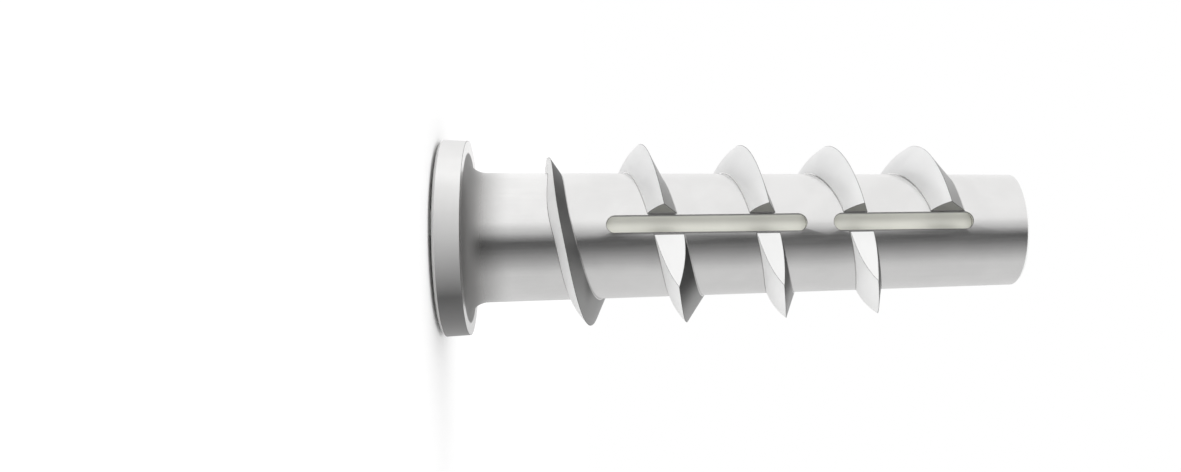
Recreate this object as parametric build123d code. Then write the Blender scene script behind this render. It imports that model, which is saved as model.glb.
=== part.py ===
from build123d import *
import os
from math import cos, radians, sin, tan

os.makedirs("parts", exist_ok=True)

# One-piece screw-in anchor for aerated concrete, die-cast in zinc. Sizes are millimetres
# and degrees. The axis is Z and the anchor stands on its head: Z = 0 is the top of the
# raised boss on the head, and the tip points up. The grooves lie at -Y and +Y.

# Head
FLANGE_DIAMETER = 22.2
FLANGE_THICKNESS = 2.95
FLANGE_DRAFT = 3.0
FLANGE_EDGE_CHAMFER = 0.3
BOSS_HEIGHT = 0.35
BOSS_DIAMETER = 11.6
BOSS_DRAFT = 15.0
WING_SPAN = 19.0
WING_WIDTH = 2.7

# Barrel, measured from the flange's front face
LENGTH_UNDER_FACE = 64.0
BARREL_DIAMETER = 14.7
CASTING_DRAFT = 1.08
NECK_REACH = 2.15
TIP_EDGE_CHAMFER = 0.2

# Inside: drafted hexagon socket, funnel and screw bore
KEY_SIZE = 8.0
SOCKET_DEPTH = 40.0
FUNNEL_DEPTH = 1.0
SCREW_BORE_DIAMETER = 5.5
BORE_MOUTH_CHAMFER = 0.4

# Grooves along both sides: distance of each one's ends from the flange's front face
GROOVE_WIDTH = 1.9
GROOVE_DEPTH = 0.6
GROOVE_FLOOR_RADIUS = 1.3
GROOVES = ((18.3, 39.9), (42.8, 57.9))

# Thread: its middle line first crosses the -Y groove line FIRST_PASS behind the flange's
# front face. Turns are counted from there, and the pitch closes up towards the tip.
FIRST_PASS = 13.3
PITCH = 11.56
PITCH_CLOSING = 0.26
ROOT_DEPTH = 0.8
SECTION_ANGLE = 16.0
GAP_ANGLE = 9.5
FLAT_HEIGHT = 0.1
FIRST_TURN = -0.235
FLIGHT_COUNT = 8

# Thread section along the turns: turn, then the head-side root, the crest and the tip-side
# foot as distances from the middle line, the belly of the head-side flank as a share of the
# flank's depth, and the crest's height on the barrel
THREAD_STATIONS = (
    (FIRST_TURN, 0.95, 1.15, 2.35, 0.07, 1.7),
    (0.0, -1.1, 0.1, 1.3, 0.12, 2.7),
    (0.28, -1.9, 0.05, 1.2, 0.16, 3.0),
    (0.78, -1.65, 0.1, 1.65, 0.25, 3.3),
    (0.97, -1.8, 0.1, 1.6, 0.14, 2.9),
    (1.03, -1.75, 0.1, 1.8, 0.14, 2.9),
    (1.28, -2.1, -0.3, 1.6, 0.18, 3.0),
    (1.78, -1.6, 0.4, 1.4, 0.26, 3.2),
    (1.97, -1.55, 0.4, 1.4, 0.16, 3.0),
    (2.03, -1.5, 0.55, 1.3, 0.16, 3.0),
    (2.28, -2.1, 0.25, 1.2, 0.18, 2.9),
    (2.78, -2.6, 0.0, 1.2, 0.23, 3.15),
    (2.97, -1.75, 0.3, 1.1, 0.16, 2.6),
    (3.03, -1.7, 0.35, 1.15, 0.16, 2.8),
    (3.28, -2.3, 0.4, 0.9, 0.18, 2.7),
    (3.78, -3.0, -0.2, 2.8, 0.23, 3.2),
    (3.97, -1.9, -0.25, 1.9, 0.18, 2.9),
)

FACE_Z = BOSS_HEIGHT
UNDERSIDE_Z = FACE_Z + FLANGE_THICKNESS
TIP_Z = FACE_Z + LENGTH_UNDER_FACE
CORNERS_ON_Y = 90
GROOVE_LINE = -90
ON_BASE = (Align.CENTER, Align.CENTER, Align.MIN)


def barrel_radius(z):
    """Radius of the drafted barrel at height z."""
    return BARREL_DIAMETER / 2 - (z - UNDERSIDE_Z) * tan(radians(CASTING_DRAFT))


def middle_line(turn):
    """Height of the thread's middle line after so many turns."""
    return FACE_Z + FIRST_PASS + PITCH * turn - PITCH_CLOSING * turn**2


def station(turn):
    """Section sizes at a turn, eased between the two stations round it."""
    low = max((row for row in THREAD_STATIONS if row[0] <= turn), default=THREAD_STATIONS[0])
    high = min((row for row in THREAD_STATIONS if row[0] > turn), default=low)
    share = (turn - low[0]) / (high[0] - low[0]) if high is not low else 0.0
    eased = share * share * (3 - 2 * share)
    return [a + (b - a) * eased for a, b in zip(low[1:], high[1:])]


def thread_section(turn):
    """Outline of the thread in the half plane through the axis at a turn."""
    head_root, crest, tip_foot, belly, height = station(turn)
    middle = middle_line(turn)
    surface = barrel_radius(middle)
    angle = radians(360 * turn + GROOVE_LINE)
    outward = Vector(cos(angle), sin(angle), 0)
    up = Vector(0, 0, 1)

    # The flanks run on below the barrel's surface, so that the thread joins it all along
    tip_root = tip_foot + (tip_foot - crest) * ROOT_DEPTH / height
    root = outward * (surface - ROOT_DEPTH) + up * middle
    head = root + up * head_root
    tip = root + up * tip_root
    top = root + outward * (ROOT_DEPTH + height) + up * crest

    # The head-side flank bellies out square to its chord, and the tip-side one is straight
    square = outward * (crest - head_root) - up * (ROOT_DEPTH + height)
    flank = Bezier(head, (head + top) / 2 + square * belly, top)
    return Wire([flank, Line(top, tip), Line(tip, head)])


def flat_cutter(side):
    """Block whose inner face is the flat beside a groove, just proud of the barrel."""
    foot = barrel_radius(UNDERSIDE_Z) + FLAT_HEIGHT
    reach = 2 * LENGTH_UNDER_FACE
    block = Pos(0, side * reach / 2, 0) * Box(reach, reach, 2 * reach)
    return Pos(0, side * foot, UNDERSIDE_Z) * Rot(CASTING_DRAFT * side, 0, 0) * block


def thread_flight(number):
    """One unbroken stretch of the thread: half a turn, from one side's gap to the other's."""
    gap = GAP_ANGLE / 360
    first = number == 0
    start = FIRST_TURN if first else number / 2 + gap
    end = (number + 1) / 2 - gap
    steps = round(360 * (end - start) / SECTION_ANGLE)
    turns = [start + (end - start) * i / steps for i in range(steps + 1)]
    flight = Solid.make_loft([thread_section(turn) for turn in turns])
    side = 1 if number % 2 else -1
    return flight if first else flight - flat_cutter(side)


def thread():
    """All flights of the thread, broken where the grooves run."""
    return [thread_flight(number) for number in range(FLIGHT_COUNT)]


def body():
    """Flange, hollow neck and drafted barrel, turned round the axis."""
    rim = FLANGE_DIAMETER / 2
    back_rim = rim - FLANGE_THICKNESS * tan(radians(FLANGE_DRAFT))
    neck_end = UNDERSIDE_Z + NECK_REACH
    neck_radius = barrel_radius(neck_end)
    neck = Bezier(
        (neck_radius + NECK_REACH, UNDERSIDE_Z),
        (barrel_radius(UNDERSIDE_Z), UNDERSIDE_Z),
        (neck_radius, neck_end),
    )
    barrel = Polyline(neck @ 1, (barrel_radius(TIP_Z), TIP_Z), (0, TIP_Z), (0, FACE_Z))
    flange = Polyline((0, FACE_Z), (rim, FACE_Z), (back_rim, UNDERSIDE_Z), neck @ 0)
    profile = make_face(Wire([neck] + barrel.edges() + flange.edges()))

    def corner(x, y):
        return profile.vertices().sort_by_distance((x, y))[0]

    profile = chamfer(corner(rim, FACE_Z), FLANGE_EDGE_CHAMFER)
    profile = chamfer(corner(barrel_radius(TIP_Z), TIP_Z), TIP_EDGE_CHAMFER)
    return revolve(Plane.XZ * profile, Axis.Z)


def boss():
    """Raised ring round the socket with a wing towards each groove."""
    outline = Circle(BOSS_DIAMETER / 2) + Rectangle(WING_WIDTH, WING_SPAN)
    return extrude(outline, 2 * BOSS_HEIGHT, taper=-BOSS_DRAFT)


def socket_and_bore():
    """Drafted hexagon socket, its funnel, and the screw bore out to the tip."""
    mouth = RegularPolygon(KEY_SIZE / 2, 6, major_radius=False, rotation=CORNERS_ON_Y)
    hexagon = extrude(mouth, SOCKET_DEPTH, taper=CASTING_DRAFT)
    floor_radius = KEY_SIZE / 2 - SOCKET_DEPTH * tan(radians(CASTING_DRAFT))
    bore_radius = SCREW_BORE_DIAMETER / 2
    rim_radius = bore_radius + BORE_MOUTH_CHAMFER
    funnel = Pos(0, 0, SOCKET_DEPTH) * Cone(
        floor_radius, bore_radius, FUNNEL_DEPTH, align=ON_BASE
    )
    bore = Cylinder(bore_radius, TIP_Z, align=ON_BASE)
    mouth_cone = Pos(0, 0, TIP_Z - BORE_MOUTH_CHAMFER) * Cone(
        bore_radius, rim_radius, BORE_MOUTH_CHAMFER, align=ON_BASE
    )
    return [hexagon, funnel, bore, mouth_cone]


def groove(near_end, far_end, side):
    """Blind groove with a hollow floor and round ends, on the -Y (-1) or +Y (1) side."""
    length = far_end - near_end
    middle = FACE_Z + (near_end + far_end) / 2
    lean = radians(CASTING_DRAFT)
    outward = Vector(0, side * cos(lean), sin(lean))
    along = Vector(0, -side * sin(lean), cos(lean))
    place = Plane(
        origin=(0, side * barrel_radius(middle), middle), x_dir=along, z_dir=outward
    )
    walls = extrude(SlotOverall(length, GROOVE_WIDTH), GROOVE_DEPTH, both=True)
    rod = Rot(0, 90, 0) * Cylinder(GROOVE_FLOOR_RADIUS, length)
    return place * (walls & Pos(0, 0, GROOVE_FLOOR_RADIUS - GROOVE_DEPTH) * rod)


def anchor():
    """The whole casting as one solid."""
    solid = body() + boss()
    solid = solid + thread()
    solid = solid - socket_and_bore()
    return solid - [groove(*ends, side) for ends in GROOVES for side in (-1, 1)]


anchor_body = anchor()
export_step(anchor_body, "parts/anchor_body.step")
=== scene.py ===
from math import cos, pi, radians, sin, tan

import bpy
import numpy as np
from mathutils import Matrix, Vector


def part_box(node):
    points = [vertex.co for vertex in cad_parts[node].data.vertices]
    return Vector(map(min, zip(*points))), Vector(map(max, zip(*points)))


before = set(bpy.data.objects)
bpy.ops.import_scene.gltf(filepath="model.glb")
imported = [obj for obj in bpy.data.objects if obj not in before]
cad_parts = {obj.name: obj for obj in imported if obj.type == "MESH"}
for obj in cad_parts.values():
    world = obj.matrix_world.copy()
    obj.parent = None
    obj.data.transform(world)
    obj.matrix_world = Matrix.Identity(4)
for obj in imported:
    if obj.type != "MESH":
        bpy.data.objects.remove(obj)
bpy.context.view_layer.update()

bl_info = {
    "name": "Aerated concrete anchor",
    "version": (1, 0, 0),
    "blender": (4, 5, 0),
    "location": "3D View > Sidebar > Anchor",
    "description": "Zinc finish, studio and camera for a cast screw-in anchor",
    "category": "Object",
}

CASTING = "anchor_body"
MM = 0.001
WHITE = (1.0, 1.0, 1.0, 1.0)

CAST_LOW, CAST_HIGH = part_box(CASTING)
LENGTH = CAST_HIGH.z - CAST_LOW.z

# Measures of the casting that part its regions: the drafted barrel, the flats beside the
# grooves, the gaps of the thread, the first flight, and the neck with its hollow
BARREL_RADIUS = 7.35 * MM
HEAD_HEIGHT = 3.3 * MM
CASTING_DRAFT = radians(1.08)
FLAT_HEIGHT = 0.1 * MM
GAP_ANGLE = radians(9.5)
FIRST_FLIGHT_TOP = 16.5 * MM
NECK_START = 3.9 * MM
NECK_END = 8.5 * MM
HOLLOW_START = 3.4 * MM
HOLLOW_END = 5.4 * MM

# Limits between the regions: heights from the floor or down from the tip, radii, and depths
# under the barrel's skin
FACE_TOP = 0.45 * MM
RIM_RADIUS = 10.8 * MM
NECK_RADIUS = 9.55 * MM
THREAD_BOTTOM = 5.5 * MM
CREASE_BOTTOM = 2 * MM
CORE_RADIUS = 4.8 * MM
TIP_EDGE_RADIUS = 5.95 * MM
TIP_EDGE_DEPTH = 0.25 * MM
GROOVE_TOP = 2 * MM
GROOVE_DEPTH = 0.1 * MM
GROOVE_EDGE_DEPTH = 0.22 * MM
THREAD_RISE = 0.14 * MM

# How soft the limits are: between most regions, behind the head, and over the neck
EDGE = 0.08 * MM
WIDE_EDGE = 1 * MM
NECK_EDGE = 0.3 * MM

# Where the masks that tell faces apart start and are full. A flank's normal has a part along
# the axis, a flat's points straight to its side, and near an edge the rounded normal agrees
# less with the true one. Then come the distance off a flat and the angle off a flight's end.
FLANK_LEAN = (0.05, 0.2)
FLAT_FACING = (0.98, 0.995)
CREASE_AGREEMENT = (0.985, 0.90)
OFF_FLAT = (0.05 * MM, 0.02 * MM)
OFF_END = (radians(0.35), radians(0.15))

# Where the painted shade at the start of a flight's tip side ends and is full: by angle from
# the groove, and on the first flight by place across the anchor
START_ANGLES = (radians(78), radians(45))
FIRST_START = (8 * MM, -3 * MM)

# Painted light: where the later flights' head sides turn light, by place across the anchor
HEAD_SIDE_LIT = (-7 * MM, -1 * MM)

# Noise: the part of its range that counts, its details, and how far the streaks are drawn out
NOISE_RANGE = (0.3, 0.7)
PATCH_DETAIL = 3.0
STREAK_DETAIL = 3.0
GRAIN_DETAIL = 4.0
STREAK_STRETCH = (1.0, 1.0, 0.02)

# How finely the rounded normal near an edge is worked out
BEVEL_SAMPLES = 8

# Finish of the regions, each laid over the ones before it: colour, roughness, metallic
# Painted shade: the neck, the hollow, the thread's tip sides, the starts, the ends, the groove
# edge and the crease take darker colours. Painted light: the lit head side, the flat and the tip
# edge take a pale one.
REGIONS = (
    ("rim", "bright_zinc", 0.18, 1.0),
    ("neck", "neck_shade_zinc", 0.26, 1.0),
    ("hollow", "hollow_shade_zinc", 0.50, 0.5),
    ("thread", "tip_side_shade_zinc", 0.35, 0.7),
    ("start", "start_shade_zinc", 0.45, 0.85),
    ("head side", "head_side_zinc", 0.45, 0.35),
    ("lit head side", "painted_light_zinc", 0.40, 0.15),
    ("flat", "painted_light_zinc", 0.40, 0.1),
    ("end", "end_shade_zinc", 0.45, 1.0),
    ("tip edge", "painted_light_zinc", 0.40, 0.15),
    ("groove", "groove_zinc", 0.55, 0.6),
    ("groove edge", "end_shade_zinc", 0.55, 0.6),
    ("crease", "crease_shade_zinc", 0.55, 0.6),
    ("head", "cast_zinc", 0.45, 1.0),
    ("inside", "socket_zinc", 0.45, 1.0),
)
BARREL_ROUGHNESS = (0.19, 0.26)

# Two cards that only gloss sees: how bright each is by bearing, in degrees from the camera's
# side towards the bright side. The side card is grey with a dark band near the camera's side,
# and past its ends gloss sees the white studio. The low card is dark on the shaded side and
# bright on the other.
SIDE_CARD = (
    (-170, 0.75),
    (-65, 0.70),
    (-40, 0.40),
    (-15, 0.10),
    (-5, 0.10),
    (5, 0.60),
    (20, 0.85),
)
LOW_CARD = (
    (-180, 0.60),
    (-100, 0.35),
    (-40, 0.12),
    (45, 1.15),
    (180, 0.60),
)

# Lines of points across the floor and round a card, and the side card's height over the floor
# where it lies on it
FLOOR_LINES = 9
CARD_LINES = 73
CARD_LIFT = 0.05 * MM

# The picture's width, focal length and sideways shift in its own pixels, and the camera's
# sensor and reach
PICTURE_WIDTH = 1181
PICTURE_FOCUS = 1200
PICTURE_SHIFT = -3.5
SENSOR_WIDTH = 36.0
CLIP_START = 5 * MM
CLIP_END = 10.0


class FinishSettings(bpy.types.PropertyGroup):
    """Colours and textures of the casting."""

    bright_zinc: bpy.props.FloatVectorProperty(
        name="Bright zinc",
        description="Colour of the barrel, thread and flange",
        subtype="COLOR",
        size=4,
        min=0.0,
        max=1.0,
        default=(0.82, 0.815, 0.81, 1.0),
    )
    head_side_zinc: bpy.props.FloatVectorProperty(
        name="Head side zinc",
        description="Colour of the thread's smooth flanks, which face the head",
        subtype="COLOR",
        size=4,
        min=0.0,
        max=1.0,
        default=(0.84, 0.84, 0.84, 1.0),
    )
    # Painted shade: the thread's tip sides take a dark colour for the shade they fall in.
    tip_side_shade_zinc: bpy.props.FloatVectorProperty(
        name="Tip side zinc",
        description="Colour of the thread's darker flanks, which face the tip",
        subtype="COLOR",
        size=4,
        min=0.0,
        max=1.0,
        default=(0.28, 0.28, 0.277, 1.0),
    )
    # Painted shade: near black on the flights' tip sides where they start.
    start_shade_zinc: bpy.props.FloatVectorProperty(
        name="Start zinc",
        description="Colour of the flights' tip sides where they start",
        subtype="COLOR",
        size=4,
        min=0.0,
        max=1.0,
        default=(0.045, 0.045, 0.044, 1.0),
    )
    # Painted shade: a darker colour where the barrel runs into the flange.
    neck_shade_zinc: bpy.props.FloatVectorProperty(
        name="Neck zinc",
        description="Colour of the duller skin where the barrel runs into the flange",
        subtype="COLOR",
        size=4,
        min=0.0,
        max=1.0,
        default=(0.37, 0.365, 0.36, 1.0),
    )
    # Painted shade: darker still in the hollow at the foot of the neck.
    hollow_shade_zinc: bpy.props.FloatVectorProperty(
        name="Hollow zinc",
        description="Colour of the dull skin in the hollow at the foot of the neck",
        subtype="COLOR",
        size=4,
        min=0.0,
        max=1.0,
        default=(0.20, 0.197, 0.194, 1.0),
    )
    # Painted light: a pale colour on the flats beside the grooves, the lit head sides and the
    # tip's edge.
    painted_light_zinc: bpy.props.FloatVectorProperty(
        name="Flat zinc",
        description="Colour of the smooth flats beside the grooves",
        subtype="COLOR",
        size=4,
        min=0.0,
        max=1.0,
        default=(0.94, 0.94, 0.935, 1.0),
    )
    # Painted shade: a darker colour on the flights' ends and as a thin line along the grooves'
    # edges.
    end_shade_zinc: bpy.props.FloatVectorProperty(
        name="End zinc",
        description="Colour of the ends of the flights",
        subtype="COLOR",
        size=4,
        min=0.0,
        max=1.0,
        default=(0.38, 0.38, 0.375, 1.0),
    )
    cast_zinc: bpy.props.FloatVectorProperty(
        name="Cast zinc",
        description="Colour of the grainy face of the head",
        subtype="COLOR",
        size=4,
        min=0.0,
        max=1.0,
        default=(0.66, 0.66, 0.65, 1.0),
    )
    groove_zinc: bpy.props.FloatVectorProperty(
        name="Groove zinc",
        description="Colour of the duller skin in the grooves",
        subtype="COLOR",
        size=4,
        min=0.0,
        max=1.0,
        default=(0.80, 0.80, 0.735, 1.0),
    )
    # Painted shade: fine dark lines along the thread's and the grooves' edges.
    crease_shade_zinc: bpy.props.FloatVectorProperty(
        name="Crease zinc",
        description="Colour of the fine dark lines along the thread's and the grooves' edges",
        subtype="COLOR",
        size=4,
        min=0.0,
        max=1.0,
        default=(0.05, 0.05, 0.048, 1.0),
    )
    socket_zinc: bpy.props.FloatVectorProperty(
        name="Socket zinc",
        description="Colour of the dark skin inside the socket and the bore",
        subtype="COLOR",
        size=4,
        min=0.0,
        max=1.0,
        default=(0.30, 0.30, 0.29, 1.0),
    )
    patch_size: bpy.props.FloatProperty(
        name="Patch size",
        description="Size of the faint darker patches",
        subtype="DISTANCE",
        unit="LENGTH",
        default=4 * MM,
    )
    patch_shade: bpy.props.FloatProperty(
        name="Patch shade",
        description="Brightness of the faint patches, where the rest is 1",
        subtype="FACTOR",
        min=0.0,
        max=1.0,
        default=0.95,
    )
    crease_width: bpy.props.FloatProperty(
        name="Crease width",
        description="Width of the fine dark lines",
        subtype="DISTANCE",
        unit="LENGTH",
        default=0.11 * MM,
    )
    grain_size: bpy.props.FloatProperty(
        name="Grain size",
        description="Size of the grains of the cast skin",
        subtype="DISTANCE",
        unit="LENGTH",
        default=0.22 * MM,
    )
    grain_depth: bpy.props.FloatProperty(
        name="Grain depth",
        description="Depth of the grain on the face of the head",
        subtype="DISTANCE",
        unit="LENGTH",
        default=0.03 * MM,
    )
    satin_grain: bpy.props.FloatProperty(
        name="Satin grain",
        description="Depth of the thread's grain, as a share of the head's",
        subtype="FACTOR",
        min=0.0,
        max=1.0,
        default=0.25,
    )
    barrel_grain: bpy.props.FloatProperty(
        name="Barrel grain",
        description="Depth of the barrel's grain, as a share of the head's",
        subtype="FACTOR",
        min=0.0,
        max=1.0,
        default=0.06,
    )
    streak_width: bpy.props.FloatProperty(
        name="Streak width",
        description="Width of the fine marks that the die leaves along the barrel",
        subtype="DISTANCE",
        unit="LENGTH",
        default=0.25 * MM,
    )
    streak_depth: bpy.props.FloatProperty(
        name="Streak depth",
        description="Depth of the fine marks along the barrel",
        subtype="DISTANCE",
        unit="LENGTH",
        default=0.002 * MM,
    )


class StudioSettings(bpy.types.PropertyGroup):
    """Floor, cards, light and camera."""

    floor_colour: bpy.props.FloatVectorProperty(
        name="Floor colour",
        description="Colour of the plain floor",
        subtype="COLOR",
        size=4,
        min=0.0,
        max=1.0,
        default=(0.92, 0.92, 0.92, 1.0),
    )
    floor_size: bpy.props.FloatProperty(
        name="Floor size",
        description="Side of the square floor",
        subtype="DISTANCE",
        unit="LENGTH",
        default=4.0,
    )
    side_card_radius: bpy.props.FloatProperty(
        name="Side card radius",
        description="How far the side card stands from the anchor's axis",
        subtype="DISTANCE",
        unit="LENGTH",
        default=60 * MM,
    )
    side_card_height: bpy.props.FloatProperty(
        name="Side card height",
        description="Height of the side card",
        subtype="DISTANCE",
        unit="LENGTH",
        default=160 * MM,
    )
    low_card_radius: bpy.props.FloatProperty(
        name="Low card radius",
        description="How far the low card stands from the anchor's axis",
        subtype="DISTANCE",
        unit="LENGTH",
        default=12.6 * MM,
    )
    low_card_height: bpy.props.FloatProperty(
        name="Low card height",
        description="Height of the low card",
        subtype="DISTANCE",
        unit="LENGTH",
        default=3.4 * MM,
    )
    lamp_power: bpy.props.FloatProperty(
        name="Lamp power",
        description="Power of the soft lamp over the bright side",
        subtype="POWER",
        unit="POWER",
        default=1.2,
    )
    lamp_size: bpy.props.FloatProperty(
        name="Lamp size",
        description="Side of the soft lamp",
        subtype="DISTANCE",
        unit="LENGTH",
        default=0.6,
    )
    lamp_place: bpy.props.FloatVectorProperty(
        name="Lamp place",
        description="Where the soft lamp hangs, from the anchor's middle",
        subtype="TRANSLATION",
        unit="LENGTH",
        size=3,
        default=(-0.55, -0.15, 0.75),
    )
    camera_bearing: bpy.props.FloatProperty(
        name="Camera bearing",
        description="How far the camera stands round from the grooved side",
        subtype="ANGLE",
        unit="ROTATION",
        default=radians(10.0),
    )
    camera_distance: bpy.props.FloatProperty(
        name="Camera distance",
        description="From the anchor's axis to the camera",
        subtype="DISTANCE",
        unit="LENGTH",
        default=135.6 * MM,
    )
    camera_height: bpy.props.FloatProperty(
        name="Camera height",
        description="Height of the camera over the floor",
        subtype="DISTANCE",
        unit="LENGTH",
        default=17.3 * MM,
    )
    camera_roll: bpy.props.FloatProperty(
        name="Camera roll",
        description="Roll of the camera, which lays the anchor down with its tip at the right",
        subtype="ANGLE",
        unit="ROTATION",
        default=radians(89.112),
    )
    camera_lens: bpy.props.FloatProperty(
        name="Camera lens",
        description="Focal length on a 36 mm wide sensor",
        unit="CAMERA",
        default=SENSOR_WIDTH * PICTURE_FOCUS / PICTURE_WIDTH,
    )
    camera_shift: bpy.props.FloatProperty(
        name="Camera shift",
        description="Sideways shift of the picture, as a share of its width",
        default=PICTURE_SHIFT / PICTURE_WIDTH,
    )


class Graph:
    """Adds nodes to one node tree. An input takes a plain value or another node's output."""

    def __init__(self, tree):
        self.tree = tree
        tree.nodes.clear()

    def node(self, kind, inputs=None, **settings):
        """New shader node: its settings first, then its inputs by name or place."""
        made = self.tree.nodes.new("ShaderNode" + kind)
        for name, value in settings.items():
            setattr(made, name, value)
        for name, value in (inputs or {}).items():
            if isinstance(value, bpy.types.NodeSocket):
                self.tree.links.new(value, made.inputs[name])
            else:
                made.inputs[name].default_value = value
        return made

    def math(self, operation, a, b=0.0, clamp=False):
        """Result of one sum on two values."""
        return self.node("Math", {0: a, 1: b}, operation=operation, use_clamp=clamp).outputs[0]

    def step(self, value, start, end, low=0.0, high=1.0):
        """Soft step from low to high while value goes from start to end."""
        inputs = {
            "Value": value,
            "From Min": start,
            "From Max": end,
            "To Min": low,
            "To Max": high,
        }
        return self.node("MapRange", inputs, interpolation_type="SMOOTHSTEP").outputs[0]

    def above(self, value, limit, edge=EDGE):
        """Mask that is 1 where value is above the limit, with a soft edge."""
        return self.step(value, limit - edge / 2, limit + edge / 2)

    def below(self, value, limit, edge=EDGE):
        """Mask that is 1 where value is below the limit, with a soft edge."""
        return self.step(value, limit + edge / 2, limit - edge / 2)

    def mix(self, share, a, b):
        """Value a where share is 0 and value b where it is 1."""
        return self.node("Mix", {0: share, 2: a, 3: b}).outputs[0]

    def blend(self, share, a, b):
        """Colour a where share is 0 and colour b where it is 1."""
        inputs = {0: share, 6: a, 7: b}
        return self.node("Mix", inputs, data_type="RGBA").outputs[2]

    def noise(self, place, size, detail, stretch=(1.0, 1.0, 1.0)):
        """Noise whose lumps are about size across, drawn out where stretch is below 1."""
        inputs = {"Vector": place, "Scale": stretch}
        drawn = self.node("Mapping", inputs).outputs[0]
        inputs = {"Vector": drawn, "Scale": 1.0 / size, "Detail": detail}
        return self.node("TexNoise", inputs).outputs["Fac"]


def all_of(graph, *masks):
    """Mask that is 1 where every mask is 1."""
    product = masks[0]
    for mask in masks[1:]:
        product = graph.math("MULTIPLY", product, mask)
    return product


def region_masks(graph, place, finish):
    """Masks of the casting's regions, from places on it and the way its skin faces."""
    axes = graph.node("SeparateXYZ", {0: place}).outputs
    along = axes["Z"]
    across = graph.math("ABSOLUTE", axes["X"])
    outward = graph.math("ABSOLUTE", axes["Y"])
    flat = graph.node("VectorMath", {0: place, 1: (1.0, 1.0, 0.0)}, operation="MULTIPLY")
    radius = graph.node("VectorMath", {0: flat.outputs[0]}, operation="LENGTH").outputs["Value"]
    normal = graph.node("NewGeometry").outputs["Normal"]
    facing = graph.node("SeparateXYZ", {0: normal}).outputs

    # The barrel's drafted skin, which narrows from the head to the tip
    slope = tan(CASTING_DRAFT)
    line = {0: along, 1: -slope, 2: BARREL_RADIUS + slope * HEAD_HEIGHT}
    skin = graph.node("Math", line, operation="MULTIPLY_ADD").outputs[0]
    depth = graph.math("SUBTRACT", skin, radius)
    behind_head = graph.above(along, THREAD_BOTTOM, WIDE_EDGE)

    masks = {}
    masks["head"] = graph.below(along, FACE_TOP)
    masks["rim"] = graph.above(radius, RIM_RADIUS)
    # The neck and the hollow at its foot carry painted shade where the barrel runs into the
    # flange.
    masks["neck"] = all_of(
        graph,
        graph.step(along, NECK_END, NECK_START),
        graph.below(radius, NECK_RADIUS, NECK_EDGE),
        graph.above(along, FACE_TOP),
    )
    hollowed = graph.step(along, HOLLOW_END, HOLLOW_START)
    masks["hollow"] = all_of(graph, masks["neck"], hollowed)
    masks["inside"] = all_of(
        graph,
        graph.below(radius, CORE_RADIUS),
        graph.above(along, FACE_TOP),
        graph.below(along, CAST_HIGH.z - EDGE),
    )
    # The tip's edge carries painted light.
    masks["tip edge"] = all_of(
        graph,
        graph.above(along, CAST_HIGH.z - TIP_EDGE_DEPTH),
        graph.above(radius, TIP_EDGE_RADIUS),
    )
    masks["groove"] = all_of(
        graph,
        graph.above(depth, GROOVE_DEPTH),
        graph.above(radius, CORE_RADIUS),
        graph.below(along, CAST_HIGH.z - GROOVE_TOP),
        behind_head,
    )
    # The groove's edge carries a thin line of painted shade.
    shallow = graph.below(depth, GROOVE_EDGE_DEPTH)
    masks["groove edge"] = all_of(graph, masks["groove"], shallow)

    # Near an edge, the rounded normal parts from the true one. There the crease mask paints fine
    # dark lines as shade.
    bevel = graph.node("Bevel", {"Radius": finish.crease_width}, samples=BEVEL_SAMPLES)
    normals = {0: bevel.outputs[0], 1: normal}
    agree = graph.node("VectorMath", normals, operation="DOT_PRODUCT").outputs["Value"]
    parted = graph.step(agree, *CREASE_AGREEMENT)
    masks["crease"] = all_of(
        graph,
        parted,
        graph.above(along, CREASE_BOTTOM),
        graph.above(radius, CORE_RADIUS),
        graph.below(along, CAST_HIGH.z - 2 * TIP_EDGE_DEPTH),
    )

    # The thread stands proud of the skin. Its flanks face the head or the tip, its flats beside
    # the grooves face straight out, and its flights end on planes through the axis.
    # The thread takes the tip sides' dark colour, which is painted shade, and the head sides are
    # laid over it.
    masks["thread"] = all_of(graph, graph.below(depth, -THREAD_RISE), behind_head)
    to_tip = graph.step(facing["Z"], *FLANK_LEAN)
    to_head = graph.step(graph.math("MULTIPLY", facing["Z"], -1.0), *FLANK_LEAN)
    masks["head side"] = all_of(graph, masks["thread"], to_head)
    # The flats beside the grooves carry painted light.
    lift = graph.math("SUBTRACT", graph.math("SUBTRACT", outward, skin), FLAT_HEIGHT)
    on_flat = graph.step(graph.math("ABSOLUTE", lift), *OFF_FLAT)
    straight_out = graph.step(graph.math("ABSOLUTE", facing["Y"]), *FLAT_FACING)
    masks["flat"] = all_of(graph, on_flat, behind_head, straight_out)
    first = graph.below(along, FIRST_FLIGHT_TOP, WIDE_EDGE)
    round_to = graph.math("ARCTAN2", across, outward)
    beside = graph.math("ABSOLUTE", graph.math("SUBTRACT", round_to, GAP_ANGLE))
    # The flights' ends carry painted shade.
    on_end = graph.step(beside, *OFF_END)
    later = graph.math("SUBTRACT", 1.0, first)
    masks["end"] = all_of(graph, on_end, masks["thread"], later)

    # Painted shade: the tip side is darkest where a flight starts, the first one at -X, the
    # others beside a groove. Painted light: the head side is brightest on the first flight and
    # towards +X.
    side = graph.math("SIGN", axes["X"])
    before = graph.math("MULTIPLY", graph.math("MULTIPLY", axes["Y"], side), -1.0)
    from_start = graph.math("ARCTAN2", across, before)
    early = graph.step(from_start, *START_ANGLES)
    first_early = graph.step(axes["X"], *FIRST_START)
    early = graph.mix(first, early, first_early)
    masks["start"] = all_of(graph, masks["thread"], to_tip, early)
    lit = graph.math("MAXIMUM", first, graph.step(axes["X"], *HEAD_SIDE_LIT))
    masks["lit head side"] = all_of(graph, masks["head side"], lit)
    return masks


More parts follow.
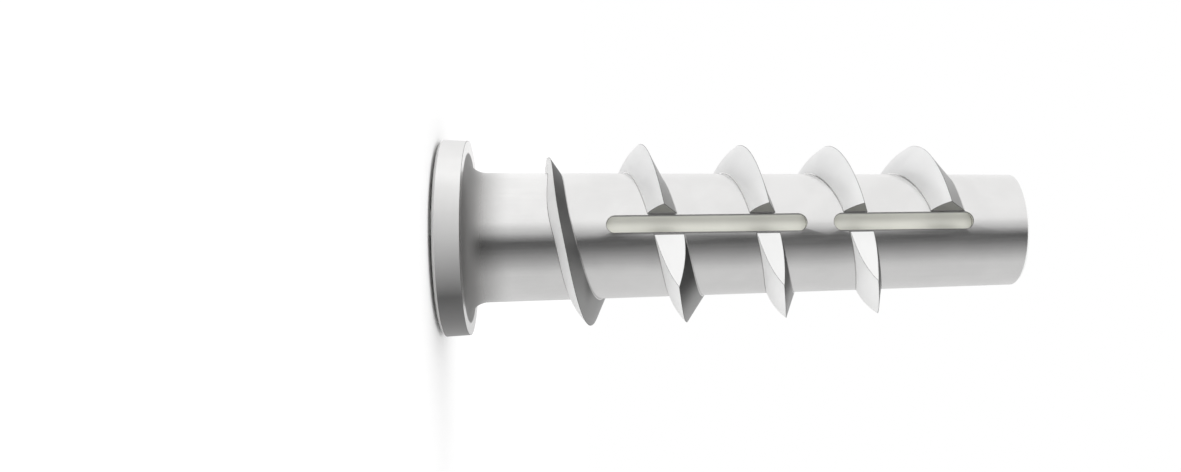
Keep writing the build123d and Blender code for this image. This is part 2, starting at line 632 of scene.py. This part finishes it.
def zinc_casting_material(finish):
    """Die-cast zinc: bright with faint marks along the barrel, satin on the thread, grainy on
    the head's face, dull in the grooves and dark inside."""
    material = bpy.data.materials.new("zinc_casting")
    material.use_nodes = True
    graph = Graph(material.node_tree)
    place = graph.node("TexCoord").outputs["Object"]
    masks = region_masks(graph, place, finish)

    streaks = graph.noise(place, finish.streak_width, STREAK_DETAIL, STREAK_STRETCH)
    patches = graph.noise(place, finish.patch_size, PATCH_DETAIL)
    grains = graph.noise(place, finish.grain_size, GRAIN_DETAIL)

    colour = finish.bright_zinc
    rough = graph.step(streaks, *NOISE_RANGE, *BARREL_ROUGHNESS)
    metal = 1.0
    for region, zinc, roughness, metallic in REGIONS:
        colour = graph.blend(masks[region], colour, getattr(finish, zinc))
        rough = graph.mix(masks[region], rough, roughness)
        metal = graph.mix(masks[region], metal, metallic)
    shade = graph.step(patches, *NOISE_RANGE, finish.patch_shade, 1.0)
    tone = graph.node("CombineXYZ", {0: shade, 1: shade, 2: shade}).outputs[0]
    mottled = {0: 1.0, 6: colour, 7: tone}
    colour = graph.node("Mix", mottled, data_type="RGBA", blend_type="MULTIPLY").outputs[2]

    inputs = {"Height": streaks, "Distance": finish.streak_depth}
    marked = graph.node("Bump", inputs).outputs[0]
    cast_skin = graph.math("MAXIMUM", masks["head"], masks["inside"])
    satin = graph.math("MULTIPLY", masks["thread"], finish.satin_grain)
    grainy = graph.math("MAXIMUM", graph.math("MAXIMUM", cast_skin, satin), finish.barrel_grain)
    grain = graph.math("MULTIPLY", grains, grainy)
    inputs = {"Height": grain, "Distance": finish.grain_depth, "Normal": marked}
    relief = graph.node("Bump", inputs).outputs[0]

    inputs = {"Base Color": colour, "Metallic": metal, "Roughness": rough, "Normal": relief}
    shader = graph.node("BsdfPrincipled", inputs)
    graph.node("OutputMaterial", {"Surface": shader.outputs[0]})
    return material


def bearing_group(name, shades, studio):
    """Node group: light by the bearing of a place round the anchor."""
    group = bpy.data.node_groups.new(name, "ShaderNodeTree")
    group.interface.new_socket("Place", in_out="INPUT", socket_type="NodeSocketVector")
    group.interface.new_socket("Light", in_out="OUTPUT", socket_type="NodeSocketColor")
    graph = Graph(group)
    place = group.nodes.new("NodeGroupInput").outputs["Place"]

    # Turned and mirrored so that bearing 0 is the camera's side and rises to the bright side
    turn = {"Vector": place, "Rotation": (0.0, 0.0, pi / 2 - studio.camera_bearing)}
    turned = graph.node("Mapping", turn, vector_type="POINT").outputs[0]
    flipped = graph.node("VectorMath", {0: turned, 1: (1.0, -1.0, 1.0)}, operation="MULTIPLY")
    bearing = graph.node("TexGradient", {"Vector": flipped.outputs[0]}, gradient_type="RADIAL")
    ramp = graph.node("ValToRGB", {"Fac": bearing.outputs["Fac"]})
    stops = ramp.color_ramp.elements
    stops.remove(stops[1])
    for number, (angle, light) in enumerate(shades):
        position = 0.5 + angle / 360
        stop = stops.new(position) if number else stops[0]
        stop.position = position
        stop.color = (light, light, light, 1.0)
    group.links.new(ramp.outputs["Color"], group.nodes.new("NodeGroupOutput").inputs["Light"])
    return group


def floor_material(studio):
    """Plain pale floor, white to the camera and in gloss, that keeps the anchor's shadow."""
    material = bpy.data.materials.new("floor")
    material.use_nodes = True
    graph = Graph(material.node_tree)
    path = graph.node("LightPath").outputs
    seen = graph.math("MAXIMUM", path["Is Camera Ray"], path["Is Glossy Ray"])
    seen = graph.math("MAXIMUM", seen, path["Is Transmission Ray"])
    colour = graph.blend(seen, studio.floor_colour, WHITE)
    inputs = {"Base Color": colour, "Roughness": 1.0, "Specular IOR Level": 0.0}
    shader = graph.node("BsdfPrincipled", inputs)
    graph.node("OutputMaterial", {"Surface": shader.outputs[0]})
    return material


def card_material(name, shades, studio):
    """Card as bright as its shade, whatever light falls on it."""
    material = bpy.data.materials.new(name)
    material.use_nodes = True
    graph = Graph(material.node_tree)
    place = graph.node("TexCoord").outputs["Object"]
    group = bearing_group(name, shades, studio)
    light = graph.node("Group", {"Place": place}, node_tree=group).outputs["Light"]
    shader = graph.node("Emission", {"Color": light, "Strength": 1.0})
    graph.node("OutputMaterial", {"Surface": shader.outputs[0]})
    return material


def surface_mesh(name, points):
    """Mesh of a grid of points, which has one row for each step of the first parameter."""
    rows, columns = points.shape[:2]
    corner = (np.arange(rows - 1)[:, None] * columns + np.arange(columns - 1)).ravel()
    faces = np.stack([corner, corner + columns, corner + columns + 1, corner + 1], axis=-1)
    mesh = bpy.data.meshes.new(name)
    mesh.from_pydata(points.reshape(-1, 3).tolist(), [], faces.tolist())
    mesh.update()
    return mesh


def make_floor(studio):
    """Square floor under the anchor's head: the point at (across, along) keeps one height."""
    reach = studio.floor_size / 2
    steps = np.linspace(-reach, reach, FLOOR_LINES)
    across, along = np.meshgrid(steps, steps, indexing="ij")
    points = np.stack([across, along, np.full_like(across, CAST_LOW.z)], axis=-1)
    floor = bpy.data.objects.new("floor", surface_mesh("floor", points))
    floor.data.materials.append(floor_material(studio))
    bpy.context.scene.collection.objects.link(floor)


def make_card(name, shades, profile, studio):
    """Card that only gloss sees, from its first bearing to its last. The point at (bearing,
    step) lies at the profile's radius and height for the step, turned to the bearing."""
    bearings = np.radians(np.linspace(shades[0][0], shades[-1][0], CARD_LINES))
    turns = studio.camera_bearing - pi / 2 - bearings
    radius, height = np.array(profile).T
    turn, radius = np.meshgrid(turns, radius, indexing="ij")
    height = np.broadcast_to(CAST_LOW.z + height, radius.shape)
    points = np.stack([radius * np.cos(turn), radius * np.sin(turn), height], axis=-1)
    card = bpy.data.objects.new(name, surface_mesh(name, points))
    card.data.materials.append(card_material(name, shades, studio))
    card.visible_camera = False
    card.visible_diffuse = False
    card.visible_shadow = False
    card.visible_transmission = False
    bpy.context.scene.collection.objects.link(card)


def make_cards(studio):
    """Side card, which lies on the floor and rises at its far edge, and the low card close
    round the head's rim."""
    low, side = studio.low_card_radius, studio.side_card_radius
    rise = ((low, CARD_LIFT), (side, CARD_LIFT), (side, studio.side_card_height))
    make_card("side_card", SIDE_CARD, rise, studio)
    make_card("low_card", LOW_CARD, ((low, 0.0), (low, studio.low_card_height)), studio)


def make_world():
    """White studio, the same to the camera, in gloss and as light."""
    world = bpy.data.worlds.new("studio")
    world.use_nodes = True
    bpy.context.scene.world = world
    graph = Graph(world.node_tree)
    light = graph.node("Background", {"Color": WHITE, "Strength": 1.0})
    graph.node("OutputWorld", {"Surface": light.outputs[0]})


def make_lamp(studio):
    """Large soft lamp high over the bright side, turned to the middle of the anchor."""
    lamp = bpy.data.lights.new("soft_lamp", "AREA")
    lamp.shape = "SQUARE"
    lamp.size = studio.lamp_size
    lamp.energy = studio.lamp_power
    lamp.use_shadow = True
    made = bpy.data.objects.new("soft_lamp", lamp)
    middle = Vector((0.0, 0.0, LENGTH / 2))
    away = Vector(studio.lamp_place)
    made.location = middle + away
    made.rotation_mode = "QUATERNION"
    made.rotation_quaternion = away.to_track_quat("Z", "Y")
    made.visible_glossy = False
    made.visible_camera = False
    bpy.context.scene.collection.objects.link(made)


def make_camera(studio):
    """Camera at the picture's angle, rolled so that the anchor lies with its tip at the right."""
    data = bpy.data.cameras.new("camera")
    data.sensor_fit = "HORIZONTAL"
    data.sensor_width = SENSOR_WIDTH
    data.lens = studio.camera_lens
    data.shift_x = studio.camera_shift
    data.clip_start = CLIP_START
    data.clip_end = CLIP_END
    camera = bpy.data.objects.new("camera", data)
    back = Vector((sin(studio.camera_bearing), -cos(studio.camera_bearing), 0.0))
    up = Vector((0.0, 0.0, 1.0))
    side = up.cross(back)
    right = side * cos(studio.camera_roll) + up * sin(studio.camera_roll)
    top = back.cross(right)
    place = back * studio.camera_distance + up * studio.camera_height
    turned = Matrix((right, top, back)).transposed().to_4x4()
    camera.matrix_world = Matrix.Translation(place) @ turned
    bpy.context.scene.collection.objects.link(camera)
    bpy.context.scene.camera = camera


class ANCHOR_OT_finish_casting(bpy.types.Operator):
    """Give the casting its zinc finish"""

    bl_idname = "anchor.finish_casting"
    bl_label = "Finish Casting"

    def execute(self, context):
        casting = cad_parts[CASTING]
        finish = context.scene.anchor_finish
        casting.material_slots[0].material = zinc_casting_material(finish)
        return {"FINISHED"}


class ANCHOR_OT_set_up_studio(bpy.types.Operator):
    """Set up the floor, the cards, the light and the camera"""

    bl_idname = "anchor.set_up_studio"
    bl_label = "Set Up Studio"

    def execute(self, context):
        studio = context.scene.anchor_studio
        context.scene.view_settings.view_transform = "Standard"
        make_floor(studio)
        make_cards(studio)
        make_world()
        make_lamp(studio)
        make_camera(studio)
        return {"FINISHED"}


class ANCHOR_PT_panel(bpy.types.Panel):
    """Anchor tools in the sidebar"""

    bl_idname = "ANCHOR_PT_panel"
    bl_label = "Anchor"
    bl_space_type = "VIEW_3D"
    bl_region_type = "UI"
    bl_category = "Anchor"

    def draw(self, context):
        for operator, settings in (
            (ANCHOR_OT_finish_casting, context.scene.anchor_finish),
            (ANCHOR_OT_set_up_studio, context.scene.anchor_studio),
        ):
            box = self.layout.box()
            box.operator(operator.bl_idname)
            for name in settings.__annotations__:
                box.prop(settings, name)


CLASSES = (
    FinishSettings,
    StudioSettings,
    ANCHOR_OT_finish_casting,
    ANCHOR_OT_set_up_studio,
    ANCHOR_PT_panel,
)


def register():
    """Adds the settings, the operators and the panel."""
    for entry in CLASSES:
        bpy.utils.register_class(entry)
    bpy.types.Scene.anchor_finish = bpy.props.PointerProperty(type=FinishSettings)
    bpy.types.Scene.anchor_studio = bpy.props.PointerProperty(type=StudioSettings)


def unregister():
    """Takes them away again."""
    del bpy.types.Scene.anchor_studio
    del bpy.types.Scene.anchor_finish
    for entry in reversed(CLASSES):
        bpy.utils.unregister_class(entry)


def main():
    """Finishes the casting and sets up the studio."""
    register()
    bpy.ops.anchor.finish_casting()
    bpy.ops.anchor.set_up_studio()


if __name__ == "__main__":
    main()
